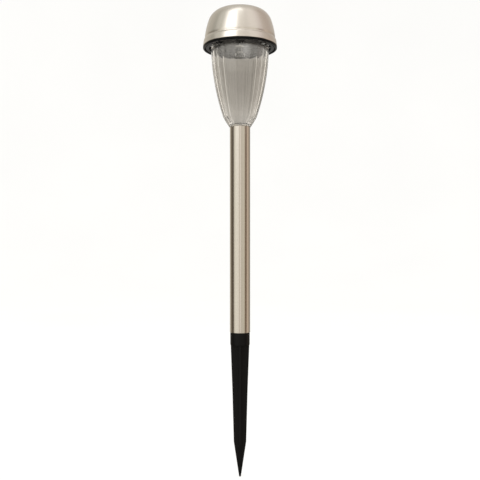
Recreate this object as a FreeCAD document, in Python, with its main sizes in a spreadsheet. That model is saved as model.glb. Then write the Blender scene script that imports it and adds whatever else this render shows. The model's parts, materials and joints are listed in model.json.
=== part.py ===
import FreeCAD, Part
import math
import os
import re
import Sketcher

# Solar garden light: a steel cap with a solar panel, a faceted clear lens, a steel post and a ground spike.
# Millimetres. +Z up, the origin on the axis at the post's lower end (ground level), -Y to the front.

os.makedirs("parts", exist_ok=True)
doc = FreeCAD.newDocument("SolarGardenLight")
sheet = doc.addObject("Spreadsheet::Sheet", "Sizes")

SIZES = {
    # pressed cap
    "rim_level": 224.0,
    "cap_radius": 29.0,
    "sheet_wall": 0.5,
    "flange_height": 7.0,
    "flange_top_radius": 28.33,
    "side_foot_radius": 27.93,
    "side_bulge": 60.0,
    "dome_height": 28.5,
    "crown_radius": 12.75,
    "shoulder_radius": 12.6,
    "shoulder_angle": 20.8,
    "window_radius": 17.3,
    # solar panel
    "glaze_radius": 17.2,
    "glaze_drop": 1.75,
    "cell_side": 22.0,
    "cell_thick": 0.25,
    "backing_radius": 16.8,
    "backing_thick": 0.8,
    # upper housing
    "housing_radius": 22.2,
    "housing_wall": 1.3,
    "boss_circle": 18.6,
    "boss_radius": 2.7,
    "boss_bore": 1.25,
    # base plate, whose underside shows below the cap
    "lip_depth": 1.8,
    "groove_outer": 27.8,
    "groove_inner": 26.7,
    "recess_radius": 24.2,
    "recess_depth": 3.2,
    "plate_thick": 2.0,
    "upstand_radius": 27.35,
    "upstand_height": 7.8,
    "led_boss_radius": 4.0,
    "led_boss_drop": 2.4,
    "led_bore": 1.9,
    "lug_inner": 22.95,
    "lug_foot": 222.05,
    "lug_height": 0.75,
    "lug_half_angle": 4.6,
    "lug_offset": 16.5,
    "slot_length": 4.2,
    "slot_width": 2.1,
    "standoff_radius": 1.8,
    "standoff_height": 3.0,
    "standoff_bore": 0.85,
    "saddle_offset": 8.0,
    "saddle_width": 9.0,
    "saddle_thick": 2.0,
    # electrics
    "board_length": 22.0,
    "board_width": 14.0,
    "board_thick": 1.2,
    "board_back": 1.4,
    "lead_pitch": 2.54,
    "lead_radius": 0.25,
    "led_radius": 2.5,
    "led_length": 8.6,
    "led_flange": 2.9,
    "battery_radius": 5.25,
    "battery_length": 28.5,
    "battery_back": 7.0,
    "battery_lift": 6.0,
    "sleeve_wall": 0.2,
    "nub_radius": 1.8,
    "contact_thick": 0.4,
    "spring_length": 3.9,
    "switch_front": 16.3,
    "switch_length": 8.5,
    "switch_width": 3.7,
    "switch_height": 3.5,
    "wire_radius": 0.55,
    # lens
    "lens_radius": 22.7,
    "lens_wall": 1.8,
    "lens_top": 226.0,
    "facet_top": 221.2,
    "facet_count": 20,
    "bowl_top": 220.3,
    "bowl_waist_radius": 13.2,
    "bowl_waist": 169.0,
    "bowl_curve": 188.0,
    "foot_curve": 45.0,
    "skirt_radius": 8.6,
    "skirt_bore": 8.0,
    "skirt_level": 161.2,
    "spigot_radius": 7.42,
    "spigot_bore": 6.4,
    "spigot_level": 147.0,
    "loop_count": 3,
    "loop_turn": -39.0,
    "loop_half_angle": 11.3,
    "loop_leg_angle": 2.6,
    "loop_reach": 24.0,
    "loop_top": 224.6,
    "loop_bar": 0.7,
    "loop_leg": 2.5,
    "loop_nib": 1.7,
    "lens_turn": 9.0,
    # post and spike
    "tube_radius": 8.0,
    "tube_wall": 0.5,
    "tube_top": 163.0,
    "neck_radius": 7.8,
    "seal_thick": 0.45,
    "collar_radius": 7.65,
    "collar_depth": 10.0,
    "stub_radius": 7.45,
    "stub_bore": 5.6,
    "stub_height": 22.0,
    "fin_thick": 2.2,
    "fin_knee": 45.0,
    "fin_knee_radius": 6.0,
    "fin_point": 86.0,
    "fin_point_radius": 4.9,
    "spike_depth": 114.0,
    "tip_radius": 0.8,
}

# levels and radii that follow from the driving sizes
DERIVED = {
    "crown_level": "=rim_level + dome_height",
    "shoulder_centre": "=rim_level + dome_height - shoulder_radius",
    "ceiling_level": "=rim_level + recess_depth",
    "deck_level": "=rim_level + recess_depth + plate_thick",
    "panel_level": "=rim_level + dome_height - glaze_drop",
    "seat_level": "=rim_level + dome_height - glaze_drop - 1.1",
    "board_level": "=rim_level + recess_depth + plate_thick + standoff_height",
    "tube_bore": "=tube_radius - tube_wall",
    "facet_factor": "=cos(180 deg / facet_count)",
}

for row, (alias, number) in enumerate({**SIZES, **DERIVED}.items(), start=1):
    sheet.set(f"A{row}", alias)
    sheet.set(f"B{row}", str(number))
    sheet.setAlias(f"B{row}", alias)
doc.recompute()

ALIASES = re.compile(r"\b(" + "|".join({**SIZES, **DERIVED}) + r")\b")


def bound(text):
    """An expression in the sheet's aliases, written so that any object can use it."""
    return ALIASES.sub(r"Sizes.\1", str(text))


def value(text):
    return float(sheet.evalExpression(bound(text)))


def bind(item, **expressions):
    """Binds properties of an object to expressions; a double underscore stands for a dot."""
    for name, text in expressions.items():
        item.setExpression(name.replace("__", "."), bound(text))


def place(item, x="0", y="0", z="0"):
    bind(item, Placement__Base__x=x, Placement__Base__y=y, Placement__Base__z=z)


# ---------------------------------------------------------------- sketches and features


def new_body(label):
    body = doc.addObject("PartDesign::Body", label)
    body.Label = label
    return body


def origin_feature(body, role):
    return next(item for item in body.Origin.OriginFeatures if item.Role == role)


def new_sketch(body, plane, offset="0", turn="0"):
    """A sketch on one of the body's planes, moved along its normal and turned about it."""
    sketch = body.newObject("Sketcher::SketchObject", "Sketch")
    sketch.AttachmentSupport = [(origin_feature(body, plane), "")]
    sketch.MapMode = "FlatFace"
    bind(sketch, AttachmentOffset__Base__z=offset, AttachmentOffset__Rotation__Angle=turn)
    return sketch


def fix_point(sketch, index, end, x, y):
    """Holds one end of an edge at x, y from the sketch's origin."""
    for kind, text in (("DistanceX", x), ("DistanceY", y)):
        number = sketch.addConstraint(Sketcher.Constraint(kind, -1, 1, index, end, value(text)))
        sketch.setExpression(f"Constraints[{number}]", bound(text))


def arc_between(start, end, radius):
    """An arc from start to end; a positive radius turns anticlockwise, a negative one clockwise."""
    chord = end - start
    rise = math.sqrt(radius * radius - chord.Length**2 / 4)
    side = FreeCAD.Vector(-chord.y, chord.x, 0).normalize() * math.copysign(rise, radius)
    centre = (start + end) / 2 + side
    first, last = (start, end) if radius > 0 else (end, start)
    angles = [math.atan2(p.y - centre.y, p.x - centre.x) for p in (first, last)]
    circle = Part.Circle(centre, FreeCAD.Vector(0, 0, 1), abs(radius))
    return Part.ArcOfCircle(circle, angles[0], angles[1])


def draw(sketch, corners, closed=True):
    """Draws an outline. A corner is (x, y), or (x, y, radius) when an arc leads to it."""
    points = [FreeCAD.Vector(value(c[0]), value(c[1]), 0) for c in corners]
    for i in range(0 if closed else 1, len(corners)):
        x, y, *radius = corners[i]
        if radius:
            bend = value(radius[0])
            index = sketch.addGeometry(arc_between(points[i - 1], points[i], bend))
            number = sketch.addConstraint(Sketcher.Constraint("Radius", index, abs(bend)))
            sketch.setExpression(f"Constraints[{number}]", bound(f"abs({radius[0]})"))
            start, end = (1, 2) if bend > 0 else (2, 1)
        else:
            index = sketch.addGeometry(Part.LineSegment(points[i - 1], points[i]))
            start, end = 1, 2
        fix_point(sketch, index, start, *corners[i - 1][:2])
        fix_point(sketch, index, end, x, y)


def draw_circle(sketch, x, y, radius):
    centre = FreeCAD.Vector(value(x), value(y), 0)
    index = sketch.addGeometry(Part.Circle(centre, FreeCAD.Vector(0, 0, 1), value(radius)))
    number = sketch.addConstraint(Sketcher.Constraint("Radius", index, value(radius)))
    sketch.setExpression(f"Constraints[{number}]", bound(radius))
    fix_point(sketch, index, 3, x, y)


def box_corners(length, width, x="0", y="0"):
    """A rectangle about x, y."""
    signs = ((-1, -1), (1, -1), (1, 1), (-1, 1))
    return [(f"{x} + {i} * ({length}) / 2", f"{y} + {j} * ({width}) / 2") for i, j in signs]


def sector(inner, outer, start, end):
    """A piece of a flat ring between two radii and two angles in degrees."""
    first, last = f"({start}) * 1 deg", f"({end}) * 1 deg"
    return [
        (f"({inner}) * cos({first})", f"({inner}) * sin({first})", f"-({inner})"),
        (f"({outer}) * cos({first})", f"({outer}) * sin({first})"),
        (f"({outer}) * cos({last})", f"({outer}) * sin({last})", outer),
        (f"({inner}) * cos({last})", f"({inner}) * sin({last})"),
    ]


def revolve(body, corners):
    """Turns an outline of (radius, level) corners about the body's Z axis."""
    sketch = new_sketch(body, "XZ_Plane")
    draw(sketch, corners)
    feature = body.newObject("PartDesign::Revolution", "Revolution")
    feature.Profile = sketch
    feature.ReferenceAxis = (sketch, ["V_Axis"])
    feature.Angle = 360
    return feature


def extrude(body, kind, sketch, length, both_sides=False, reverse=False):
    """A Pad or a Pocket of a sketch."""
    feature = body.newObject(f"PartDesign::{kind}", kind)
    feature.Profile = sketch
    feature.Type = "Length"
    feature.Midplane = both_sides
    feature.Reversed = reverse
    bind(feature, Length=length)
    return feature


def around(body, feature, count):
    """Repeats a feature about the body's Z axis."""
    pattern = body.newObject("PartDesign::PolarPattern", "PolarPattern")
    pattern.Originals = [feature]
    pattern.Axis = (origin_feature(body, "Z_Axis"), [""])
    pattern.Angle = 360
    bind(pattern, Occurrences=count)
    body.Tip = pattern
    return pattern


def cylinder(radius, height, x="0", y="0", z="0", label="Cylinder"):
    item = doc.addObject("Part::Cylinder", label)
    item.Label = label
    bind(item, Radius=radius, Height=height)
    place(item, x, y, z)
    return item


def block(label, length, width, height, x, y, z):
    """A box centred on x, y with its foot at z."""
    item = doc.addObject("Part::Box", label)
    item.Label = label
    bind(item, Length=length, Width=width, Height=height)
    place(item, f"{x} - ({length}) / 2", f"{y} - ({width}) / 2", z)
    return item


def joined(label, items):
    item = doc.addObject("Part::MultiFuse", label)
    item.Label = label
    item.Shapes = items
    return item


def cut(label, base, tool):
    item = doc.addObject("Part::Cut", label)
    item.Label = label
    item.Base = base
    item.Tool = tool
    return item


# ---------------------------------------------------------------- cap and solar panel


def dome(radius, inset="0"):
    """The level of the shoulder arc at a radius, on the skin or inset from it."""
    reach = f"(shoulder_radius - {inset})"
    return f"shoulder_centre + sqrt({reach} * {reach} - ({radius} - crown_radius)^2)"


def side_top(inset="0"):
    """Where the side meets the shoulder arc, on the skin or inset from it."""
    reach = f"(shoulder_radius - {inset})"
    return (
        f"crown_radius + {reach} * cos(shoulder_angle * 1 deg)",
        f"shoulder_centre + {reach} * sin(shoulder_angle * 1 deg)",
    )


def cap_shell():
    body = new_body("cap_shell")
    wall = "sheet_wall"
    flange_top = "rim_level + flange_height"
    revolve(
        body,
        [
            ("cap_radius", "rim_level"),
            ("flange_top_radius", f"{flange_top} - 0.5"),
            ("side_foot_radius", flange_top),
            (*side_top(), "side_bulge"),
            ("window_radius", dome("window_radius"), "shoulder_radius"),
            ("window_radius", dome("window_radius", wall)),
            (*side_top(wall), f"-(shoulder_radius - {wall})"),
            (f"side_foot_radius - {wall}", f"{flange_top} + {wall} / 2", f"-(side_bulge - {wall})"),
            (f"flange_top_radius - {wall}", f"{flange_top} - 0.5 - {wall} / 2"),
            (f"cap_radius - {wall}", "rim_level"),
        ],
    )
    return body


def panel_glaze():
    body = new_body("panel_glaze")
    revolve(
        body,
        [
            ("0", "panel_level"),
            ("glaze_radius", "panel_level"),
            ("glaze_radius", dome("glaze_radius")),
            ("crown_radius", "crown_level", "shoulder_radius"),
            ("0", "crown_level"),
        ],
    )
    return body


def panel_seal():
    body = new_body("panel_seal")
    outer = "window_radius + 1.6"
    foot = "seat_level - 0.95"
    revolve(
        body,
        [
            ("window_radius", foot),
            (outer, foot),
            (outer, f"{dome(outer, 'sheet_wall')} - 0.05"),
            ("window_radius", f"{dome(outer, 'sheet_wall')} - 0.05"),
        ],
    )
    return body


def solar_cell():
    foot = "panel_level - cell_thick - 0.05"
    return block("solar_cell", "cell_side", "cell_side", "cell_thick", "0", "0", foot)


def cell_backing():
    return cylinder("backing_radius", "backing_thick", z="seat_level", label="cell_backing")


# ---------------------------------------------------------------- housing


def upper_housing():
    body = new_body("upper_housing")
    foot = "deck_level + 0.05"
    inner = "housing_radius - housing_wall"
    revolve(
        body,
        [
            ("housing_radius", foot),
            ("housing_radius", "seat_level - 6.1"),
            ("window_radius + 1.9", "seat_level - 1"),
            ("backing_radius + 0.3", "seat_level - 1"),
            ("backing_radius + 0.3", "seat_level"),
            ("12", "seat_level"),
            ("12", "seat_level - 1.4"),
            ("window_radius + 0.3", "seat_level - 2.4"),
            (inner, "seat_level - 6.6"),
            (inner, foot),
        ],
    )
    boss = new_sketch(body, "XY_Plane", foot)
    draw_circle(boss, "0", "boss_circle", "boss_radius")
    around(body, extrude(body, "Pad", boss, "11"), "3")
    bore = new_sketch(body, "XY_Plane", foot)
    draw_circle(bore, "0", "boss_circle", "boss_bore")
    around(body, extrude(body, "Pocket", bore, "9", reverse=True), "3")
    return body


def base_plate():
    """The housing's floor: lip, finger groove, lens recess, bayonet lugs and seats for the electrics."""
    body = new_body("base_plate")
    lip_foot = "rim_level - lip_depth"
    rim_foot = "rim_level - lip_depth + 0.4"
    revolve(
        body,
        [
            ("recess_radius", rim_foot),
            ("groove_inner", rim_foot),
            ("groove_inner", f"{rim_foot} + 1"),
            ("groove_outer", f"{rim_foot} + 1"),
            ("groove_outer", lip_foot),
            ("cap_radius - 0.6", lip_foot),
            ("cap_radius", f"{lip_foot} + 0.6", "0.6"),
            ("cap_radius", "rim_level - 0.05"),
            ("upstand_radius", "rim_level - 0.05"),
            ("upstand_radius", "rim_level + upstand_height"),
            ("upstand_radius - 1.2", "rim_level + upstand_height"),
            ("upstand_radius - 1.2", "deck_level"),
            ("led_bore", "deck_level"),
            ("led_bore", "ceiling_level - led_boss_drop"),
            ("led_boss_radius", "ceiling_level - led_boss_drop"),
            ("led_boss_radius", "ceiling_level"),
            ("recess_radius", "ceiling_level"),
        ],
    )
    lug = new_sketch(body, "XY_Plane", "lug_foot", "lens_turn + loop_turn + lug_offset")
    draw(lug, sector("lug_inner", "recess_radius + 0.35", "-lug_half_angle", "lug_half_angle"))
    around(body, extrude(body, "Pad", lug, "lug_height"), "loop_count")
    for side in ("1", "-1"):
        saddle = new_sketch(body, "YZ_Plane", f"{side} * saddle_offset")
        reach = "(battery_radius + 0.05)"
        shelf = f"deck_level + battery_lift - sqrt({reach}^2 - (saddle_width / 2)^2)"
        draw(
            saddle,
            [
                ("battery_back - saddle_width / 2", "deck_level - 0.5"),
                ("battery_back + saddle_width / 2", "deck_level - 0.5"),
                ("battery_back + saddle_width / 2", shelf),
                ("battery_back - saddle_width / 2", shelf, f"-{reach}"),
            ],
        )
        extrude(body, "Pad", saddle, "saddle_thick", both_sides=True)
        standoff = new_sketch(body, "XY_Plane", "deck_level - 0.5")
        draw_circle(standoff, f"{side} * 9", "board_back - board_width / 2", "standoff_radius")
        extrude(body, "Pad", standoff, "standoff_height + 0.5")
        tapping = new_sketch(body, "XY_Plane", "board_level")
        draw_circle(tapping, f"{side} * 9", "board_back - board_width / 2", "standoff_bore")
        extrude(body, "Pocket", tapping, "standoff_height")
    slot = new_sketch(body, "XY_Plane", "deck_level")
    draw(slot, box_corners("slot_length", "slot_width", y="-switch_front"))
    extrude(body, "Pocket", slot, "plate_thick + 1")
    screw_hole = new_sketch(body, "XY_Plane", "deck_level")
    draw_circle(screw_hole, "0", "boss_circle", "boss_bore")
    around(body, extrude(body, "Pocket", screw_hole, "plate_thick + 1"), "3")
    head_seat = new_sketch(body, "XY_Plane", "ceiling_level + 0.9")
    draw_circle(head_seat, "0", "boss_circle", "2.15")
    around(body, extrude(body, "Pocket", head_seat, "2"), "3")
    return body


def screws(label, places, head_radius, head_height, radius, length, z, upward):
    """A set of pan-head screws: z is the seat of the heads, upward says which way the threads run."""
    pieces = []
    for x, y in places:
        head_foot = f"{z} - {head_height}" if upward else z
        pieces.append(cylinder(head_radius, head_height, x, y, head_foot))
        shank_foot = z if upward else f"{z} - {length}"
        pieces.append(cylinder(radius, length, x, y, shank_foot))
    return joined(label, pieces)


def base_screws():
    turns = (90, 210, 330)
    places = [(f"boss_circle * cos({a} deg)", f"boss_circle * sin({a} deg)") for a in turns]
    return screws("base_screws", places, "2.05", "1.3", "1.2", "7.5", "ceiling_level + 0.9", True)


# ---------------------------------------------------------------- electrics

BOARD_TOP = "board_level + board_thick"
BOARD_CENTRE = "board_back - board_width / 2"
CONTACT_TOP = "deck_level + 9.8"
PLUS_X = "battery_length / 2 + 1.9 + contact_thick / 2"
MINUS_X = "-battery_length / 2 + 0.8 - spring_length - contact_thick / 2"


def circuit_board():
    body = new_body("circuit_board")
    plate = new_sketch(body, "XY_Plane", "board_level")
    draw(plate, box_corners("board_length", "board_width", y=BOARD_CENTRE))
    extrude(body, "Pad", plate, "board_thick")
    holes = new_sketch(body, "XY_Plane", BOARD_TOP)
    for side in ("1", "-1"):
        draw_circle(holes, f"{side} * lead_pitch / 2", "0", "lead_radius + 0.15")
        draw_circle(holes, f"{side} * 9", BOARD_CENTRE, "standoff_bore + 0.1")
    extrude(body, "Pocket", holes, "board_thick + 1")
    return body


def board_screws():
    places = [("9", BOARD_CENTRE), ("-9", BOARD_CENTRE)]
    return screws("board_screws", places, "1.5", "1.0", "0.8", "3.6", BOARD_TOP, False)


def driver_chip():
    return block("driver_chip", "4.9", "3.9", "1.5", "-4", "-8", BOARD_TOP)


def inductor():
    """A drum with a waist for its winding."""
    body = new_body("inductor")
    drum, waist = "2.5", "1.7"
    revolve(
        body,
        [
            ("0", "0"),
            (drum, "0"),
            (drum, "0.8"),
            (waist, "1.4"),
            (waist, "3.6"),
            (drum, "4.2"),
            (drum, "5"),
            ("0", "5"),
        ],
    )
    place(body, "5", "-8", BOARD_TOP)
    return body


def led_lamp():
    """A 5 mm lamp hanging dome down from its boss."""
    body = new_body("led_lamp")
    dome_level = "led_radius - led_length"
    revolve(
        body,
        [
            ("0", "0"),
            ("0", "-led_length"),
            ("led_radius", dome_level, "led_radius"),
            ("led_radius", "-1"),
            ("led_flange", "-1"),
            ("led_flange", "0"),
        ],
    )
    place(body, z="ceiling_level - led_boss_drop - 0.05")
    return body


def led_leads():
    foot = "ceiling_level - led_boss_drop - 0.05"
    length = f"{BOARD_TOP} + 1 - ({foot})"
    pair = [cylinder("lead_radius", length, f"{side} * lead_pitch / 2", "0", foot) for side in ("1", "-1")]
    return joined("led_leads", pair)


def lay_along_x(body, x):
    """Lays a body that was drawn upright along X, at the battery's height."""
    body.Placement.Rotation = FreeCAD.Rotation(FreeCAD.Vector(0, 1, 0), 90)
    place(body, x, "battery_back", "deck_level + battery_lift")


def battery_can():
    body = new_body("battery_can")
    skin = "battery_radius - sleeve_wall"
    revolve(
        body,
        [
            ("0", "0"),
            (f"{skin} - 0.5", "0"),
            (skin, "0.5", "0.5"),
            (skin, "battery_length - 0.5"),
            (f"{skin} - 0.5", "battery_length", "0.5"),
            ("nub_radius", "battery_length"),
            ("nub_radius", "battery_length + 1"),
            ("0", "battery_length + 1"),
        ],
    )
    lay_along_x(body, "-battery_length / 2 + 0.85")
    return body


def battery_sleeve():
    body = new_body("battery_sleeve")
    skin = "battery_radius - sleeve_wall"
    revolve(
        body,
        [
            (skin, "0.6"),
            ("battery_radius", "0.6"),
            ("battery_radius", "battery_length - 0.6"),
            (skin, "battery_length - 0.6"),
        ],
    )
    lay_along_x(body, "-battery_length / 2 + 0.85")
    return body


def battery_contact(label, x):
    """An upright strip that touches one end of the battery."""
    height = f"{CONTACT_TOP} - deck_level"
    return block(label, "contact_thick", "6", height, x, "battery_back", "deck_level")


def battery_spring():
    """A short coil between the negative contact and the battery."""
    body = new_body("battery_spring")
    ring = new_sketch(body, "XZ_Plane")
    draw_circle(ring, "2.2", "0.35", "0.3")
    coil = body.newObject("PartDesign::AdditiveHelix", "Coil")
    coil.Profile = ring
    coil.ReferenceAxis = (ring, ["V_Axis"])
    coil.Mode = "pitch-height-angle"
    coil.Pitch = 1.0
    bind(coil, Height="spring_length - 0.75")
    lay_along_x(body, "-battery_length / 2 + 0.8 - spring_length")
    return body


def switch_body():
    sizes = ("switch_length", "switch_width", "switch_height")
    shell = block("switch_shell", *sizes, "0", "-switch_front", "deck_level + 0.05")
    hollow = block("switch_hollow", "6.6", "2.8", "2.3", "0", "-switch_front", "deck_level - 0.05")
    return cut("switch_body", shell, hollow)


def switch_slider():
    """The thumb piece, drawn at the off end of its slot."""
    x, y = "-1", "-switch_front"
    stem_length = "deck_level - ceiling_level + 2.4"
    stem = block("slider_stem", "2", "1.9", stem_length, x, y, "ceiling_level - 2")
    foot = block("slider_foot", "3.6", "2.4", "1.4", x, y, "deck_level + 0.3")
    return joined("switch_slider", [stem, foot])


def wire(label, start, end, crossing):
    """An insulated wire that leaves start upright, crosses level and runs upright to its end."""
    x, y, z = (value(text) for text in start)
    to_x, to_y, to_z = (value(text) for text in end)
    span = math.hypot(to_x - x, to_y - y)
    rise = value(crossing) - z
    finish = to_z - z
    bend = 1.2
    turn = math.copysign(1.0, finish - rise)
    body = new_body(label)
    ring = new_sketch(body, "XY_Plane")
    draw_circle(ring, "0", "0", "wire_radius")
    path = new_sketch(body, "XZ_Plane")
    corners = [
        (0, 0),
        (0, rise - bend),
        (bend, rise, -bend),
        (span - bend, rise),
        (span, rise + turn * bend, turn * bend),
        (span, finish),
    ]
    draw(path, corners, closed=False)
    sweep = body.newObject("PartDesign::AdditivePipe", "Pipe")
    sweep.Profile = ring
    sweep.Spine = (path, [f"Edge{i + 1}" for i in range(len(corners) - 1)])
    heading = math.degrees(math.atan2(to_y - y, to_x - x))
    body.Placement.Rotation = FreeCAD.Rotation(FreeCAD.Vector(0, 0, 1), heading)
    place(body, *start)
    return body


def wires():
    y = "battery_back - 2.4"
    above = "deck_level + 12"
    return [
        wire("panel_wire_red", ("-1.4", "-11", BOARD_TOP), ("-1.4", "-6", "seat_level"), "board_level + 9"),
        wire("panel_wire_black", ("1.4", "-11", BOARD_TOP), ("1.4", "-6", "seat_level"), "board_level + 11"),
        wire("battery_wire_red", (PLUS_X, y, CONTACT_TOP), ("9.6", "-1", BOARD_TOP), above),
        wire("battery_wire_black", (MINUS_X, y, CONTACT_TOP), ("-9.6", "-1", BOARD_TOP), above),
    ]


# ---------------------------------------------------------------- lens


def lens():
    """A clear bowl with flat facets, a spigot for the post and three bayonet loops at its mouth."""
    body = new_body("lens")
    mouth = "lens_radius - lens_wall"
    revolve(
        body,
        [
            ("skirt_bore", "skirt_level"),
            ("skirt_radius", "skirt_level"),
            ("skirt_radius", "skirt_level + 0.3"),
            ("bowl_waist_radius", "bowl_waist", "foot_curve"),
            ("lens_radius", "bowl_top", "bowl_curve"),
            ("lens_radius", "lens_top"),
            (mouth, "lens_top"),
            (mouth, "bowl_top"),
            ("bowl_waist_radius - lens_wall", "bowl_waist + 0.5", "lens_wall - bowl_curve"),
            ("spigot_bore", "tube_top + 1.3", "lens_wall - foot_curve"),
            ("spigot_bore", "spigot_level"),
            ("spigot_radius", "spigot_level"),
            ("spigot_radius", "tube_top + seal_thick + 0.1"),
            ("skirt_bore", "tube_top + seal_thick + 0.1"),
        ],
    )
    flat = new_sketch(body, "XZ_Plane")
    outside = "loop_reach + 2"
    draw(
        flat,
        [
            ("skirt_radius * facet_factor", "skirt_level - 1"),
            ("skirt_radius * facet_factor", "skirt_level + 0.3"),
            ("bowl_waist_radius * facet_factor", "bowl_waist", "foot_curve"),
            ("lens_radius * facet_factor", "bowl_top", "bowl_curve"),
            ("lens_radius", "facet_top"),
            (outside, "facet_top"),
            (outside, "skirt_level - 1"),
        ],
    )
    around(body, extrude(body, "Pocket", flat, "9", both_sides=True), "facet_count")
    arch = [
        ("-loop_half_angle", "loop_half_angle", "loop_bar"),
        ("-loop_half_angle", "loop_leg_angle - loop_half_angle", "loop_leg"),
        ("loop_half_angle - loop_leg_angle", "loop_half_angle", "loop_nib"),
    ]
    for start, end, depth in arch:
        loop = new_sketch(body, "XY_Plane", f"loop_top - {depth}", "loop_turn")
        draw(loop, sector("lens_radius - 0.5", "loop_reach", start, end))
        around(body, extrude(body, "Pad", loop, depth), "loop_count")
    bind(body, Placement__Rotation__Angle="lens_turn")
    return body


def ring(label, inner, outer, foot, top):
    body = new_body(label)
    revolve(body, [(inner, foot), (outer, foot), (outer, top), (inner, top)])
    return body


def lens_gasket():
    foot, top = "lens_top + 0.05", "ceiling_level - 0.05"
    return ring("lens_gasket", "lens_radius - lens_wall", "lens_radius", foot, top)


def post_seal_ring():
    foot = "tube_top + 0.05"
    return ring("post_seal_ring", "spigot_radius + 0.03", "neck_radius", foot, f"{foot} + seal_thick")


# ---------------------------------------------------------------- post and spike


def post_tube():
    body = new_body("post_tube")
    revolve(
        body,
        [
            ("tube_bore", "0"),
            ("tube_radius - 0.2", "0"),
            ("tube_radius", "0.2", "0.2"),
            ("tube_radius", "skirt_level - 0.2"),
            ("neck_radius", "skirt_level - 0.15"),
            ("neck_radius", "tube_top"),
            ("tube_bore", "tube_top"),
        ],
    )
    return body


def ground_spike():
    """A collar and hollow stub above four tapering fins."""
    body = new_body("ground_spike")
    revolve(
        body,
        [
            ("0", "-collar_depth"),
            ("collar_radius - 0.4", "-collar_depth"),
            ("collar_radius", "0.4 - collar_depth", "0.4"),
            ("collar_radius", "-0.05"),
            ("stub_radius", "-0.05"),
            ("stub_radius", "stub_height - 1"),
            ("stub_radius - 1", "stub_height"),
            ("stub_bore", "stub_height"),
            ("stub_bore", "4 - collar_depth"),
            ("0", "4 - collar_depth"),
        ],
    )
    right = [
        ("tip_radius", "tip_radius - spike_depth", "tip_radius"),
        ("fin_point_radius", "-fin_point"),
        ("fin_knee_radius", "-fin_knee"),
        ("collar_radius - 0.05", "-collar_depth"),
        ("collar_radius - 0.8", "1 - collar_depth"),
    ]
    left = [(f"-({x})", y) for x, y, *_ in reversed(right)]
    for plane in ("XZ_Plane", "YZ_Plane"):
        fin = new_sketch(body, plane)
        draw(fin, [*right, *left, ("0", "-spike_depth", "tip_radius")])
        extrude(body, "Pad", fin, "fin_thick", both_sides=True)
    return body


# ---------------------------------------------------------------- build, check and export

parts = [
    cap_shell(),
    panel_glaze(),
    panel_seal(),
    solar_cell(),
    cell_backing(),
    upper_housing(),
    base_plate(),
    base_screws(),
    circuit_board(),
    board_screws(),
    driver_chip(),
    inductor(),
    led_lamp(),
    led_leads(),
    battery_can(),
    battery_sleeve(),
    battery_contact("battery_contact_plus", PLUS_X),
    battery_contact("battery_contact_minus", MINUS_X),
    battery_spring(),
    switch_body(),
    switch_slider(),
    *wires(),
    lens_gasket(),
    lens(),
    post_seal_ring(),
    post_tube(),
    ground_spike(),
]
doc.recompute()

for item in doc.Objects:
    bad = {"Invalid", "Error"} & set(item.State)
    if bad:
        raise SystemExit(f"{item.Label}: {item.State}")
for item in parts:
    if item.Shape.isNull() or not item.Shape.isValid():
        raise SystemExit(f"{item.Label} has no valid shape")
    item.Shape.exportStep(os.path.join("parts", f"{item.Label}.step"))
    print(f"{item.Label}: {len(item.Shape.Solids)} solid, {item.Shape.Volume:.1f} mm3")
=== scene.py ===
import json
import math
import bpy
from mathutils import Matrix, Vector


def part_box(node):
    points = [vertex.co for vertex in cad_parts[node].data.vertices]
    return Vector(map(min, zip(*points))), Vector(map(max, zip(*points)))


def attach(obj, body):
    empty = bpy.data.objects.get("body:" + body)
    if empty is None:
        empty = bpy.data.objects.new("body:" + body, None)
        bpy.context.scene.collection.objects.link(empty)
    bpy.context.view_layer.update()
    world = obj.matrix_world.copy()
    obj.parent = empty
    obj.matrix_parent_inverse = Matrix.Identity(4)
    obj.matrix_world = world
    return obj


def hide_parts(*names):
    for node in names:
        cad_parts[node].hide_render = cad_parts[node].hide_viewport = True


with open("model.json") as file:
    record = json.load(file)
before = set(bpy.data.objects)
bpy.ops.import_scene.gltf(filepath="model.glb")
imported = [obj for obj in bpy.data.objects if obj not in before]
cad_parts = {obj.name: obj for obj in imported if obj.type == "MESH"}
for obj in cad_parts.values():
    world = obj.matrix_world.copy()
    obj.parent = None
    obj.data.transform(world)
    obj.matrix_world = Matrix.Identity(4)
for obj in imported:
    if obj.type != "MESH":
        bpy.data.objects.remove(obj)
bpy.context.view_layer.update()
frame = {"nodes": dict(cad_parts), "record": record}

# Lengths here are in millimetres on the frame's axes, and meshes are written in metres.
MM = 0.001
TURN = 2 * math.pi


def node_box(name):
    """Lowest and highest corner of a CAD node, in millimetres."""
    low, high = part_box(name)
    return low / MM, high / MM


# ---------------------------------------------------------------- driving dimensions

CAP_LOW, CAP_HIGH = node_box("cap_shell")
TUBE_LOW, TUBE_HIGH = node_box("post_tube")
LENS_LOW, LENS_HIGH = node_box("lens")
GASKET_HIGH = node_box("lens_gasket")[1]
GLAZE_LOW, GLAZE_HIGH = node_box("panel_glaze")
SPIKE_LOW, SPIKE_HIGH = node_box("ground_spike")
CELL_LOW, CELL_HIGH = node_box("solar_cell")

RIM = CAP_LOW.z
CAP_RADIUS = CAP_HIGH.x
CROWN = GLAZE_HIGH.z
SHEET = 0.5
SIDE_FOOT = RIM + 7.9
SIDE_FOOT_RADIUS = CAP_RADIUS - 1.46
SIDE_BULGE = 60.0
CROWN_RADIUS = 12.75
SHOULDER = 12.6
SHOULDER_ANGLE = math.radians(20.8)
WINDOW_RADIUS = GLAZE_HIGH.x + 0.1

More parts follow.
